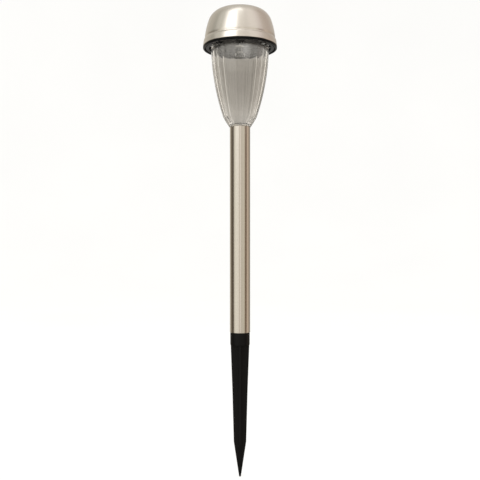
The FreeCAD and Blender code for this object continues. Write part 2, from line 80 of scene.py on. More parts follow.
LENS_RADIUS = GASKET_HIGH.x
LENS_TOP = LENS_HIGH.z
LENS_WALL = 1.8
FACETS = 20
FACET_TURN = math.radians(9)
BOWL_TOP = LENS_TOP - 5.7
FACET_ARCH = 0.9
WAIST_LEVEL = TUBE_HIGH.z + 6
WAIST_RADIUS = 13.2
BOWL_CURVE = 188.0
FOOT_CURVE = 45.0
SKIRT_LEVEL = TUBE_HIGH.z - 1.8
SKIRT_RADIUS = 8.6
SEAL_TOP = TUBE_HIGH.z + 0.55
LOOP_REACH = LENS_HIGH.y
LOOP_TOP = LENS_TOP - 1.4
LOOP_TURNS = [math.radians(a) for a in (-30, 90, 210)]
LOOP_HALF_ANGLE = math.radians(11.3)
LOOP_LEG_ANGLE = math.radians(2.6)
LOOP_BAR = 0.7
LOOP_NIB = 1.7
LOOP_LEG = 2.5
SPIGOT_BORE = 6.4

TUBE_RADIUS = TUBE_HIGH.x
TUBE_WALL = 0.5
COLLAR_RADIUS = SPIKE_HIGH.x
COLLAR_FOOT = -10.0
STUB_BORE = 5.6
FIN_THICK = 2.2
SPIKE_TIP = SPIKE_LOW.z
# Half the spike's width across its fins: at the collar, the knee, the point's start and the tip.
FIN_STATIONS = [(COLLAR_FOOT, 7.3), (-45.0, 6.0), (-86.0, 4.9), (SPIKE_TIP + 0.6, 0.75)]
GROUND = SPIKE_TIP


# ---------------------------------------------------------------- outlines


def arc(start, end, radius, steps=12):
    """Points on an arc after start up to end; a positive radius turns anticlockwise."""
    a, b = Vector(start), Vector(end)
    chord = b - a
    rise = math.sqrt(radius * radius - chord.length_squared / 4)
    side = Vector((-chord.y, chord.x)).normalized() * math.copysign(rise, radius)
    centre = (a + b) / 2 + side
    first = math.atan2(a.y - centre.y, a.x - centre.x)
    sweep = 2 * math.asin(min(1.0, chord.length / 2 / abs(radius))) * math.copysign(1, radius)
    turns = [first + sweep * (i + 1) / steps for i in range(steps)]
    return [(centre.x + abs(radius) * math.cos(t), centre.y + abs(radius) * math.sin(t)) for t in turns]


def soften(corners, closed=True, steps=5):
    """Rounds the corners of an outline: a corner is (x, y) or (x, y, radius)."""
    points = []
    count = len(corners)
    for i, corner in enumerate(corners):
        here = Vector(corner[:2])
        radius = corner[2] if len(corner) > 2 else 0
        ends = not closed and i in (0, count - 1)
        if radius == 0 or ends:
            points.append(tuple(here))
            continue
        back = (Vector(corners[i - 1][:2]) - here).normalized()
        ahead = (Vector(corners[(i + 1) % count][:2]) - here).normalized()
        half = math.acos(max(-1, min(1, back.dot(ahead)))) / 2
        reach = radius / math.tan(half)
        start, end = here + back * reach, here + ahead * reach
        turn = math.copysign(radius, back.y * ahead.x - back.x * ahead.y)
        points.append(tuple(start))
        points.extend(arc(start, end, turn, steps))
    return points


def divided(outline, step):
    """The same closed outline with its long edges cut into shorter ones."""
    points = []
    for here, ahead in zip(outline, outline[1:] + outline[:1]):
        count = max(1, math.ceil(math.dist(here, ahead) / step))
        points += [tuple(a + (b - a) * i / count for a, b in zip(here, ahead)) for i in range(count)]
    return points


def smooth(points, steps=6):
    """A smooth curve through points, from the second one to the last but one."""
    curve = [points[1]]
    for a, b, c, d in zip(points, points[1:], points[2:], points[3:]):
        for i in range(1, steps + 1):
            t = i / steps
            weights = (
                (-t + 2 * t * t - t**3) / 2,
                (2 - 5 * t * t + 3 * t**3) / 2,
                (t + 4 * t * t - 3 * t**3) / 2,
                (t**3 - t * t) / 2,
            )
            curve.append(tuple(sum(w * p[k] for w, p in zip(weights, (a, b, c, d))) for k in (0, 1)))
    return curve


# ---------------------------------------------------------------- meshes


def add_mesh(name, points, faces, body, material, slot=None):
    """A smooth-shaded piece from points in millimetres, riding on a CAD body."""
    mesh = bpy.data.meshes.new(name)
    mesh.from_pydata([Vector(p) * MM for p in points], [], faces)
    mesh.validate()
    mesh.materials.append(material)
    mesh.shade_smooth()
    piece = bpy.data.objects.new(name, mesh)
    bpy.context.scene.collection.objects.link(piece)
    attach(piece, body)
    return piece


def crease(piece, degrees):
    """Keeps edges sharper than an angle crisp while the rest shades smooth."""
    mesh = piece.data
    mesh.set_sharp_from_angle(angle=math.radians(degrees))
    return piece


def ring_faces(rings, columns, closed):
    """Quads between rings of points, each ring going once round the axis."""
    faces = []
    for j in range(rings if closed else rings - 1):
        k = (j + 1) % rings
        for i in range(columns):
            n = (i + 1) % columns
            faces.append((j * columns + i, j * columns + n, k * columns + n, k * columns + i))
    return faces


def turned(outline, columns, closed):
    """Turns an outline of (radius, level) points about the axis.

    A first or last point on the axis becomes a hub."""
    rings = [point for point in outline if point[0] > 0]
    points = []
    for radius, level in rings:
        for i in range(columns):
            turn = TURN * i / columns
            points.append((radius * math.cos(turn), radius * math.sin(turn), level))
    faces = ring_faces(len(rings), columns, closed)
    for end, ring in ((outline[0], 0), (outline[-1], len(rings) - 1)):
        if end[0] > 0:
            continue
        hub = len(points)
        points.append((0, 0, end[1]))
        for i in range(columns):
            here, ahead = ring * columns + i, ring * columns + (i + 1) % columns
            faces.append((hub, ahead, here) if ring == 0 else (hub, here, ahead))
    return points, faces


def lathe(name, outline, body, material, slot=None, columns=128, closed=True):
    """A turned piece; an open outline starts and ends on the axis."""
    return add_mesh(name, *turned(outline, columns, closed), body, material, slot)


def loft(name, sections, body, material, slot=None):
    """Skins a stack of closed sections, each a list of (x, y, z) of the same length, and caps both ends."""
    count = len(sections[0])
    points = [p for section in sections for p in section]
    faces = ring_faces(len(sections), count, closed=False)
    faces.append(tuple(reversed(range(count))))
    faces.append(tuple(range((len(sections) - 1) * count, len(sections) * count)))
    return add_mesh(name, points, faces, body, material, slot)


# ---------------------------------------------------------------- node materials


class Nodes:
    """Short names for building one material's or world's nodes."""

    def __init__(self, tree):
        self.tree = tree
        tree.nodes.clear()

    def add(self, kind, inputs=None, **settings):
        made = self.tree.nodes.new(kind)
        for name, setting in settings.items():
            setattr(made, name, setting)
        for name, source in (inputs or {}).items():
            if isinstance(source, bpy.types.NodeSocket):
                self.tree.links.new(source, made.inputs[name])
            else:
                made.inputs[name].default_value = source
        return made

    def math(self, operation, a, b=0.0, clamp=False):
        return self.add("ShaderNodeMath", {0: a, 1: b}, operation=operation, use_clamp=clamp).outputs[0]

    def ramp(self, factor, stops, interpolation="LINEAR"):
        made = self.add("ShaderNodeValToRGB", {"Fac": factor})
        made.color_ramp.interpolation = interpolation
        elements = made.color_ramp.elements
        while len(elements) < len(stops):
            elements.new(0.5)
        for element, (place, colour) in zip(elements, stops):
            element.position = place
            element.color = colour if len(colour) == 4 else (*colour, 1)
        return made.outputs["Color"]

    def noise(self, vector, scale, detail=2.0, roughness=0.5):
        inputs = {"Vector": vector, "Scale": scale, "Detail": detail, "Roughness": roughness}
        return self.add("ShaderNodeTexNoise", inputs).outputs["Fac"]

    def blend(self, factor, a, b, mode="MIX"):
        made = self.add("ShaderNodeMix", data_type="RGBA", blend_type=mode)
        for index, source in ((0, factor), (6, a), (7, b)):
            if isinstance(source, bpy.types.NodeSocket):
                self.tree.links.new(source, made.inputs[index])
            elif index == 0 or len(source) == 4:
                made.inputs[index].default_value = source
            else:
                made.inputs[index].default_value = (*source, 1)
        return made.outputs[2]

    def spread(self, factor, low, high):
        """Maps 0 to 1 onto low to high."""
        return self.add("ShaderNodeMapRange", {"Value": factor, "To Min": low, "To Max": high}).outputs[0]

    def place(self):
        return self.add("ShaderNodeTexCoord").outputs["Object"]

    def stretched(self, scales):
        """The place in metres, multiplied by scales."""
        return self.add("ShaderNodeMapping", {"Vector": self.place(), "Scale": scales}).outputs["Vector"]

    def bump(self, height, distance, strength=1.0):
        inputs = {"Height": height, "Distance": distance, "Strength": strength}
        return self.add("ShaderNodeBump", inputs).outputs["Normal"]

    def surface(self, **inputs):
        names = {name.replace("_", " "): source for name, source in inputs.items()}
        shader = self.add("ShaderNodeBsdfPrincipled", names)
        self.add("ShaderNodeOutputMaterial", {"Surface": shader.outputs[0]})
        return shader


def new_material(name):
    """A new material and its node builder."""
    material = bpy.data.materials.new(name)
    material.use_nodes = True
    return material, Nodes(material.node_tree)


def brushed_steel(name, colour, roughness, grain):
    """Stainless brushed round the axis: fine grooves, blotchy polish and faint smudges."""
    material, n = new_material(name)
    grooves = n.noise(n.stretched((6, 6, grain)), 60, 4, 0.65)
    broad = n.noise(n.stretched((3, 3, grain / 8)), 25, 2)
    smudge = n.noise(n.place(), 45, 3, 0.6)
    tone = n.blend(n.spread(grooves, 0.0, 1.0), tuple(c * 0.86 for c in colour), colour)
    tone = n.blend(n.spread(broad, 0.0, 0.25), tone, tuple(c * 0.8 for c in colour))
    even = n.spread(grooves, roughness - 0.05, roughness + 0.05)
    polish = n.math("ADD", even, n.spread(smudge, -0.04, 0.07))
    tangent = n.add("ShaderNodeTangent", direction_type="RADIAL", axis="Z").outputs[0]
    n.surface(
        Base_Color=tone,
        Metallic=1.0,
        Roughness=polish,
        Anisotropic=0.75,
        Anisotropic_Rotation=0.25,
        Tangent=tangent,
        Normal=n.bump(grooves, 0.00002, 0.25),
    )
    return material


def moulded_plastic(name, colour, roughness, grain=900, height=0.00004, wear=0.25, gloss=0.5):
    """Satin moulded plastic: fine grain, slight flow marks and paler worn patches."""
    material, n = new_material(name)
    fine = n.noise(n.place(), grain, 2, 0.6)
    flow = n.noise(n.stretched((20, 20, 6)), 6, 4, 0.7)
    worn = n.ramp(flow, [(0.45, (0, 0, 0)), (0.8, (1, 1, 1))])
    pale = tuple(min(1, c * 1.6 + 0.004) for c in colour)
    tone = n.blend(n.math("MULTIPLY", worn, wear), colour, pale)
    polish = n.math("ADD", n.spread(fine, roughness - 0.05, roughness + 0.06), n.spread(flow, -0.05, 0.05))
    n.surface(
        Base_Color=tone,
        Roughness=polish,
        Specular_IOR_Level=gloss,
        Normal=n.bump(fine, height, 0.4),
    )
    return material


def rubber(name):
    """Dull black rubber with a little dust."""
    material, n = new_material(name)
    fine = n.noise(n.place(), 1600, 3, 0.7)
    dust = n.noise(n.place(), 90, 4, 0.6)
    tone = n.blend(n.spread(dust, 0.0, 0.5), (0.012, 0.012, 0.012), (0.045, 0.043, 0.04))
    n.surface(Base_Color=tone, Roughness=n.spread(fine, 0.6, 0.85), Normal=n.bump(fine, 0.00005, 0.5))
    return material


def clear_plastic(name, tint, roughness, fog=0.0, levels=()):
    """Moulded clear plastic that lets light rays straight through, so that what it covers is lit.

    Fog is a share of even haze. Levels are (level, haze) pairs for streaky haze that changes with height."""
    material, n = new_material(name)
    ripple = n.noise(n.stretched((1, 1, 0.25)), 160, 3, 0.5)
    haze = n.noise(n.place(), 70, 4, 0.65)
    shade = n.blend(n.spread(haze, 0.0, 0.35), tint, tuple(c * 0.9 for c in tint))
    glass = n.add(
        "ShaderNodeBsdfPrincipled",
        {
            "Base Color": shade,
            "Roughness": n.spread(haze, roughness, roughness + 0.05),
            "IOR": 1.49,
            "Transmission Weight": 1.0,
            "Normal": n.bump(ripple, 0.00006, 0.25),
        },
    ).outputs[0]
    if levels:
        low, high = levels[0][0], levels[-1][0]
        height = n.add("ShaderNodeSeparateXYZ", {"Vector": n.place()}).outputs["Z"]
        span = {"Value": height, "From Min": low * MM, "From Max": high * MM}
        share = n.add("ShaderNodeMapRange", span).outputs[0]
        fog = n.ramp(share, [((z - low) / (high - low), (f, f, f)) for z, f in levels])
        streak = n.spread(n.noise(n.stretched((1, 1, 0.03)), 130, 1, 0.5), -0.9, 2.7)
        fog = n.math("MULTIPLY", fog, n.math("MAXIMUM", streak, 0.0))
    if fog:
        veil = n.add("ShaderNodeBsdfDiffuse", {"Color": (*tint, 1)}).outputs[0]
        glass = n.add("ShaderNodeMixShader", {0: fog, 1: glass, 2: veil}).outputs[0]
    path = n.add("ShaderNodeLightPath")
    unbent = n.math("MAXIMUM", path.outputs["Is Shadow Ray"], path.outputs["Is Diffuse Ray"])
    through = n.add("ShaderNodeBsdfTransparent", {"Color": (*tint, 1)}).outputs[0]
    mixed = n.add("ShaderNodeMixShader", {0: unbent, 1: glass, 2: through}).outputs[0]
    n.add("ShaderNodeOutputMaterial", {"Surface": mixed})
    return material


def bright_metal(name, colour, roughness):
    """Plated wire, spring and screw metal with fine drawing marks."""
    material, n = new_material(name)
    marks = n.noise(n.place(), 1200, 3, 0.7)
    stain = n.noise(n.place(), 200, 3, 0.6)
    tone = n.blend(n.spread(stain, 0.0, 0.5), colour, tuple(c * 0.7 for c in colour))
    n.surface(
        Base_Color=tone,
        Metallic=1.0,
        Roughness=n.spread(marks, roughness - 0.06, roughness + 0.1),
        Normal=n.bump(marks, 0.00002, 0.4),
    )
    return material


def solar_silicon(name):
    """A dark blue cell cut into strips, with fine silver fingers and two wider bus bars."""
    material, n = new_material(name)
    parts = n.add("ShaderNodeSeparateXYZ", {"Vector": n.place()})
    side = (CELL_HIGH.x - CELL_LOW.x) * MM

    def lines(axis, pitch, share):
        phase = n.math("FRACT", n.math("ADD", n.math("DIVIDE", parts.outputs[axis], pitch), 0.5))
        return n.math("LESS_THAN", n.math("ABSOLUTE", n.math("SUBTRACT", phase, 0.5)), share / 2)

    fingers = lines("X", side / 18, 0.12)
    bars = lines("Y", side / 2, 0.07)
    gaps = lines("X", side / 4, 0.03)
    silver = n.math("MAXIMUM", fingers, bars)
    crystal = n.add("ShaderNodeTexVoronoi", {"Vector": n.place(), "Scale": 420}).outputs["Color"]
    grey = n.add("ShaderNodeRGBToBW", {"Color": crystal}).outputs[0]
    blue = n.blend(n.spread(grey, 0.0, 1.0), (0.010, 0.016, 0.055), (0.020, 0.035, 0.12))
    tone = n.blend(silver, blue, (0.42, 0.43, 0.46))
    tone = n.blend(gaps, tone, (0.004, 0.004, 0.006))
    polish = n.spread(silver, 0.22, 0.4)
    n.surface(Base_Color=tone, Roughness=polish, Metallic=n.math("MULTIPLY", silver, 0.8))
    return material


def circuit_green(name):
    """Solder mask over a maze of copper tracks."""
    material, n = new_material(name)
    weave = n.noise(n.place(), 2500, 2)
    tracks = n.add(
        "ShaderNodeTexBrick",
        {
            "Vector": n.place(),
            "Scale": 300,
            "Mortar Size": 0.04,
            "Color1": (1, 1, 1, 1),
            "Color2": (0.6, 0.6, 0.6, 1),
        },
    ).outputs["Color"]
    tone = n.blend(tracks, (0.01, 0.09, 0.035), (0.018, 0.16, 0.06))
    tone = n.blend(n.spread(weave, 0.0, 0.2), tone, (0.05, 0.25, 0.1))
    n.surface(Base_Color=tone, Roughness=n.spread(weave, 0.25, 0.4), Normal=n.bump(weave, 0.00002, 0.4))
    return material


def wound_ferrite(name):
    """A grey ferrite drum whose waist is wound with copper wire."""
    material, n = new_material(name)
    low, high = node_box("inductor")
    level = n.add("ShaderNodeSeparateXYZ", {"Vector": n.place()}).outputs["Z"]
    share = n.math("DIVIDE", n.math("SUBTRACT", level, low.z * MM), (high.z - low.z) * MM)
    inside = n.math("LESS_THAN", n.math("ABSOLUTE", n.math("SUBTRACT", share, 0.5)), 0.3)
    strands = n.math("SINE", n.math("MULTIPLY", level, TURN / 0.0003))
    copper = n.blend(n.spread(strands, 0.3, 1.0), (0.25, 0.09, 0.03), (0.75, 0.33, 0.14))
    grit = n.noise(n.place(), 2200, 3, 0.7)
    grey = n.blend(grit, (0.05, 0.05, 0.055), (0.13, 0.13, 0.135))
    n.surface(
        Base_Color=n.blend(inside, grey, copper),
        Metallic=inside,
        Roughness=n.spread(grit, 0.35, 0.6),
        Normal=n.bump(strands, 0.00004, 0.3),
    )
    return material


STEEL = (0.84, 0.81, 0.765)
# Haze on the lens by level: a little round its foot and a streaky belt below its mouth.
LENS_HAZE = [
    (160, 0.035),
    (172, 0.02),
    (184, 0.0),
    (208, 0.0),
    (212, 0.04),
    (219.6, 0.085),
    (221.2, 0.0),
    (226, 0.0),
]

MATERIALS = {
    "steel_sheet": brushed_steel("steel_sheet", STEEL, 0.23, 260),
    "steel_tube": brushed_steel("steel_tube", tuple(c * 0.97 for c in STEEL), 0.20, 160),
    "black_housing": moulded_plastic("black_housing", (0.003, 0.003, 0.0032), 0.3, gloss=0.07),
    "black_spike": moulded_plastic("black_spike", (0.002, 0.002, 0.0022), 0.4, wear=0.1, gloss=0.15),
    "clear_lens": clear_plastic("clear_lens", (0.95, 0.945, 0.93), 0.01, levels=LENS_HAZE),
    "panel_glaze": clear_plastic("panel_glaze", (0.97, 0.98, 0.99), 0.01),
    "solar_cell": solar_silicon("solar_cell"),
    "cell_backing": moulded_plastic("cell_backing", (0.008, 0.008, 0.01), 0.45),
    "seal_rubber": rubber("seal_rubber"),
    "screw_steel": bright_metal("screw_steel", (0.62, 0.62, 0.60), 0.3),
    "board_green": circuit_green("board_green"),
    "chip_black": moulded_plastic("chip_black", (0.02, 0.02, 0.02), 0.5),
    "ferrite": wound_ferrite("ferrite"),
    "led_epoxy": clear_plastic("led_epoxy", (0.93, 0.93, 0.9), 0.02),
    "tinned_steel": bright_metal("tinned_steel", (0.72, 0.72, 0.70), 0.25),
    "battery_steel": bright_metal("battery_steel", (0.72, 0.72, 0.72), 0.25),
    "battery_wrap": moulded_plastic("battery_wrap", (0.03, 0.28, 0.12), 0.25, grain=400),
    "contact_steel": bright_metal("contact_steel", (0.75, 0.75, 0.74), 0.22),
    "switch_plastic": moulded_plastic("switch_plastic", (0.03, 0.03, 0.03), 0.45),
    "slider_plastic": moulded_plastic("slider_plastic", (0.62, 0.60, 0.55), 0.4),
    "wire_red": moulded_plastic("wire_red", (0.45, 0.02, 0.02), 0.35, grain=500),
    "wire_black": moulded_plastic("wire_black", (0.015, 0.015, 0.015), 0.35, grain=500),
}

# The lens' loops are the same plastic with a frosted finish.
FROSTED = clear_plastic("frosted_edges", (0.8, 0.8, 0.78), 0.3, fog=0.2)


def dress_cad_nodes():
    """Gives every CAD node the procedural material of its slot."""
    for part in frame["record"]["subparts"]:
        mesh = frame["nodes"][part["node"]].data
        mesh.materials.clear()
        mesh.materials.append(MATERIALS[part["material_slot"]])


# ---------------------------------------------------------------- pieces


def dome_level(radius, inset=0.0):
    """The level of the cap's shoulder arc at a radius."""
    reach = SHOULDER - inset
    return CROWN - SHOULDER + math.sqrt(reach**2 - (radius - CROWN_RADIUS) ** 2)


def cap_side_top(inset=0.0):
    """Where the cap's side meets its shoulder arc."""
    reach = SHOULDER - inset
    return (
        CROWN_RADIUS + reach * math.cos(SHOULDER_ANGLE),
        CROWN - SHOULDER + reach * math.sin(SHOULDER_ANGLE),
    )


def cap_skin():
    """The pressed cap, with a rolled rim, a soft step above the flange and an open window for the panel."""
    side_foot = (SIDE_FOOT_RADIUS, SIDE_FOOT)
    # From the rim: how far in the skin lies at each height over the flange and the step.
    flange = [(0.05, 0.6), (0.24, 2.3), (0.52, 4.2)]
    step = [(0.68, 4.8), (1.02, 5.25), (1.36, 5.7), (1.43, 6.3), (1.42, 7.0)]
    curve = [(CAP_RADIUS - inward, RIM + up) for inward, up in flange + step]
    curve += [side_foot, (SIDE_FOOT_RADIUS - 0.15, SIDE_FOOT + 1)]
    outer = [(CAP_RADIUS, RIM + 0.2), (CAP_RADIUS - 0.03, RIM + 0.4)] + smooth(curve)
    outer += arc(side_foot, cap_side_top(), SIDE_BULGE, 16)
    outer += arc(cap_side_top(), (WINDOW_RADIUS + 0.2, dome_level(WINDOW_RADIUS + 0.2)), SHOULDER, 24)
    outer += [(WINDOW_RADIUS, dome_level(WINDOW_RADIUS) - 0.12)]
    inner = [(WINDOW_RADIUS, dome_level(WINDOW_RADIUS, SHEET))]
    inner += arc(inner[0], cap_side_top(SHEET), SHEET - SHOULDER, 16)
    inner += arc(inner[-1], (SIDE_FOOT_RADIUS - SHEET, SIDE_FOOT), SHEET - SIDE_BULGE, 8)
    inner += [
        (CAP_RADIUS - 1.35 - SHEET, RIM + 5.6),
        (CAP_RADIUS - SHEET, RIM + 0.2),
        (CAP_RADIUS - SHEET + 0.12, RIM),
        (CAP_RADIUS - 0.12, RIM),
    ]
    piece = lathe("cap_skin", outer + inner, "head", MATERIALS["steel_sheet"], "steel_sheet", columns=192)
    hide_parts("cap_shell")
    return crease(piece, 60)


def glaze_dome():
    """The clear potting over the cell, which carries the cap's curve on to a flat top."""
    edge = GLAZE_HIGH.x
    foot = GLAZE_LOW.z
    outline = [(0, foot), (edge - 0.1, foot), (edge, foot + 0.1), (edge, dome_level(edge) - 0.15)]
    start = (edge - 0.12, dome_level(edge - 0.12))
    outline += [start] + arc(start, (CROWN_RADIUS, CROWN), SHOULDER, 10) + [(0, CROWN)]
    piece = lathe("glaze_dome", outline, "head", MATERIALS["panel_glaze"], "panel_glaze", closed=False)
    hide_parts("panel_glaze")
    return crease(piece, 50)


def lens_columns():
    """Mesh columns as (facet's middle, angle from it), tight beside each cusp to keep its edge crisp."""
    half = 180 / FACETS
    shares = (-1, -0.94, -0.8, -0.4, 0, 0.4, 0.8, 0.94)
    return [(FACET_TURN + TURN * k / FACETS, math.radians(half * s)) for k in range(FACETS) for s in shares]


def lens_bowl():
    """The clear bowl: flat facets with arched tops outside, a smooth wall inside, a skirt and a spigot."""
    columns = lens_columns()
    flat = math.cos(math.pi / FACETS)
    bulge = arc((SKIRT_RADIUS, SKIRT_LEVEL + 0.3), (WAIST_RADIUS, WAIST_LEVEL), FOOT_CURVE, 8)
    bulge += arc((WAIST_RADIUS, WAIST_LEVEL), (LENS_RADIUS, BOWL_TOP), BOWL_CURVE, 24)
    rings = []

    def round_ring(radius, level):
        rings.append([(radius, level) for _ in columns])

    round_ring(SKIRT_RADIUS - 0.12, SKIRT_LEVEL)
    round_ring(SKIRT_RADIUS, SKIRT_LEVEL + 0.12)
    round_ring(SKIRT_RADIUS, SKIRT_LEVEL + 0.3)
    for radius, level in bulge:
        rings.append([(radius * flat / math.cos(off), level) for _, off in columns])
    # Each facet ends in an arch, with a ring close to both sides of its edge to keep it crisp.
    for drop in (-0.1, 0.0, 0.1):
        arch = []
        for _, off in columns:
            share = (math.cos(off) - flat) / (1 - flat)
            reach = LENS_RADIUS if drop >= 0 else LENS_RADIUS * (1 + (1 - flat) * drop / FACET_ARCH)
            arch.append((min(reach, LENS_RADIUS), BOWL_TOP + 0.15 + FACET_ARCH * share + drop))
        rings.append(arch)
    round_ring(LENS_RADIUS, LENS_TOP - 2)
    round_ring(LENS_RADIUS, LENS_TOP - 0.3)
    round_ring(LENS_RADIUS - 0.3, LENS_TOP)
    mouth = LENS_RADIUS - LENS_WALL
    round_ring(mouth + 0.3, LENS_TOP)
    round_ring(mouth, LENS_TOP - 0.3)
    round_ring(mouth, BOWL_TOP)
    bore, spigot, skirt_bore = SPIGOT_BORE, TUBE_RADIUS - TUBE_WALL - 0.08, TUBE_RADIUS
    foot = LENS_LOW.z
    waist = (WAIST_RADIUS - LENS_WALL, WAIST_LEVEL + 0.5)
    inner = arc((mouth, BOWL_TOP), waist, LENS_WALL - BOWL_CURVE, 24)
    inner += arc(inner[-1], (bore, TUBE_HIGH.z + 1.3), LENS_WALL - FOOT_CURVE, 6)
    inner += [(bore, TUBE_HIGH.z), (bore, foot + 0.3), (bore + 0.3, foot)]
    inner += [(spigot - 0.3, foot), (spigot, foot + 0.3), (spigot, SEAL_TOP)]
    inner += [(skirt_bore, SEAL_TOP), (skirt_bore, SKIRT_LEVEL)]
    for radius, level in inner:
        round_ring(radius, level)
    points = []
    for ring in rings:
        for (middle, off), (radius, level) in zip(columns, ring):
            turn = middle + off
            points.append((radius * math.cos(turn), radius * math.sin(turn), level))
    faces = ring_faces(len(rings), len(columns), closed=True)
    piece = add_mesh("lens_bowl", points, faces, "lens_unit", MATERIALS["clear_lens"], "clear_lens")
    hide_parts("lens")
    return crease(piece, 50)


def lens_loops():
    """The three clear arches at the lens' mouth that the housing's lugs turn into."""
    reach, root = LOOP_REACH, LENS_RADIUS - 0.2
    half, leg = reach * LOOP_HALF_ANGLE, reach * LOOP_LEG_ANGLE
    bar, nib, foot = LOOP_TOP - LOOP_BAR, LOOP_TOP - LOOP_NIB, LOOP_TOP - LOOP_LEG
    outline = soften(
        [
            (-half, foot, 0.2),
            (-half + leg, foot, 0.2),
            (-half + leg, bar, 0.25),
            (half - leg, bar, 0.25),
            (half - leg, nib, 0.2),
            (half, nib, 0.2),
            (half, LOOP_TOP, 0.35),
            (-half, LOOP_TOP, 0.35),
        ],
        steps=4,
    )
    outline = divided(outline, 0.8)
    middle = (foot + LOOP_TOP) / 2
    count = len(outline)
    points, faces = [], []
    for turn in LOOP_TURNS:
        start = len(points)
        for radius, shrink in ((root, 0), (reach - 0.12, 0), (reach, 0.04)):
            for x, z in outline:
                angle = turn + x * (1 - shrink) / reach
                level = z + (middle - z) * shrink
                points.append((radius * math.cos(angle), radius * math.sin(angle), level))
        for ring in range(2):
            for i in range(count):
                here, ahead = start + ring * count + i, start + ring * count + (i + 1) % count
                faces.append((here, ahead, ahead + count, here + count))
        faces.append(tuple(reversed(range(start, start + count))))
        faces.append(tuple(range(start + 2 * count, start + 3 * count)))
    piece = add_mesh("lens_loops", points, faces, "lens_unit", FROSTED, "clear_lens")
    return crease(piece, 35)


def post_skin():
    """The steel post with rounded ends and a slightly slimmer neck inside the lens' skirt."""
    bore, neck = TUBE_RADIUS - TUBE_WALL, TUBE_RADIUS - 0.2
    outline = soften(
        [
            (bore, TUBE_LOW.z, 0.1),
            (TUBE_RADIUS, TUBE_LOW.z, 0.3),
            (TUBE_RADIUS, SKIRT_LEVEL - 0.2),
            (neck, SKIRT_LEVEL - 0.15),
            (neck, TUBE_HIGH.z, 0.15),
            (bore, TUBE_HIGH.z, 0.1),
        ],
        steps=4,
    )
    piece = lathe("post_skin", outline, "post", MATERIALS["steel_tube"], "steel_tube")
    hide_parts("post_tube")
    return crease(piece, 50)


def fin_half_width(level):
    """Half the spike's width across its fins at a level below the collar."""
    for (top, wide), (low, narrow) in zip(FIN_STATIONS, FIN_STATIONS[1:]):
        if level >= low:
            return wide + (narrow - wide) * (top - level) / (top - low)
    return FIN_STATIONS[-1][1]


def cross_section(level):
    """A rounded cross with four fins, as (x, y, z) points."""
    wide = fin_half_width(level)
    half = min(FIN_THICK / 2, wide * 0.8)
    root = min(0.5, (wide - half) * 0.4)
    tip = min(0.35, half * 0.45)
    quarter = [(wide, -half, tip), (wide, half, tip), (half, half, root)]
    corners = []
    for k in range(4):
        c, s = round(math.cos(k * TURN / 4)), round(math.sin(k * TURN / 4))
        corners += [(c * x - s * y, s * x + c * y, r) for x, y, r in quarter]
    return [(x, y, level) for x, y in soften(corners, steps=4)]


def spike_fins():
    """Four tapering fins down to a rounded point."""
    levels = [COLLAR_FOOT + 0.5, COLLAR_FOOT - 0.2]
    levels += [COLLAR_FOOT - 4 * i for i in range(1, 19)]
    levels += [-86, -90, -95, -100, -105, -109, SPIKE_TIP + 1.5, SPIKE_TIP + 0.6]
    sections = [cross_section(level) for level in reversed(levels)]
    nose = [(x * 0.5, y * 0.5, SPIKE_TIP + 0.12) for x, y, _ in sections[0]]
    sections.insert(0, nose)
    sections.insert(0, [(x * 0.1, y * 0.1, SPIKE_TIP) for x, y, _ in nose])
    piece = loft("spike_fins", sections, "spike", MATERIALS["black_spike"], "black_spike")
    return crease(piece, 60)


def spike_collar():
    """The collar under the post and the hollow stub inside it."""
    stub = TUBE_RADIUS - TUBE_WALL - 0.05
    top = SPIKE_HIGH.z
    outline = soften(
        [
            (0, COLLAR_FOOT),
            (COLLAR_RADIUS, COLLAR_FOOT, 0.5),
            (COLLAR_RADIUS, -0.05, 0.15),
            (stub, -0.05),
            (stub, top - 0.8, 0.3),
            (stub - 0.9, top, 0.3),
            (STUB_BORE, top, 0.2),
            (STUB_BORE, COLLAR_FOOT + 4, 0.5),
            (0, COLLAR_FOOT + 4),
        ],
        closed=False,
    )
    piece = lathe("spike_collar", outline, "spike", MATERIALS["black_spike"], "black_spike", closed=False)
    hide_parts("ground_spike")
    return crease(piece, 50)


def lamp_anvil():
    """The reflector cup and post inside the clear lamp."""
    cup = node_box("led_lamp")[1].z - 4.2
    lip, back = cup - 0.9, cup + 0.5
    corners = [(0, cup), (0.35, cup), (0.8, lip), (1.0, lip, 0.05), (0.9, back), (0, back)]
    outline = list(reversed(soften(corners, closed=False)))
    steel = MATERIALS["tinned_steel"]
    piece = lathe("lamp_anvil", outline, "head", steel, "tinned_steel", columns=32, closed=False)
    return crease(piece, 40)


# ---------------------------------------------------------------- studio

# Bands that the post and the lens mirror, as (azimuth from the front in degrees, colour).
ROOM_LOW = [
    (-180, (0.74, 0.72, 0.68)),
    (-134, (0.56, 0.50, 0.41)),
    (-112, (0.15, 0.12, 0.08)),
    (-80, (0.10, 0.08, 0.06)),
    (-66, (0.78, 0.72, 0.60)),
    (-50, (0.92, 0.87, 0.75)),
    (-22, (0.91, 0.85, 0.73)),
    (-12, (0.86, 0.78, 0.67)),
    (-4, (0.58, 0.50, 0.42)),
    (6, (0.96, 0.89, 0.77)),
    (16, (0.62, 0.55, 0.46)),
    (36, (0.69, 0.63, 0.52)),
    (50, (0.66, 0.60, 0.48)),
    (62, (0.26, 0.18, 0.12)),
    (74, (0.12, 0.08, 0.05)),
    (90, (0.66, 0.52, 0.41)),
    (112, (0.48, 0.39, 0.30)),
    (145, (0.29, 0.26, 0.22)),
    (180, (0.74, 0.72, 0.68)),
]
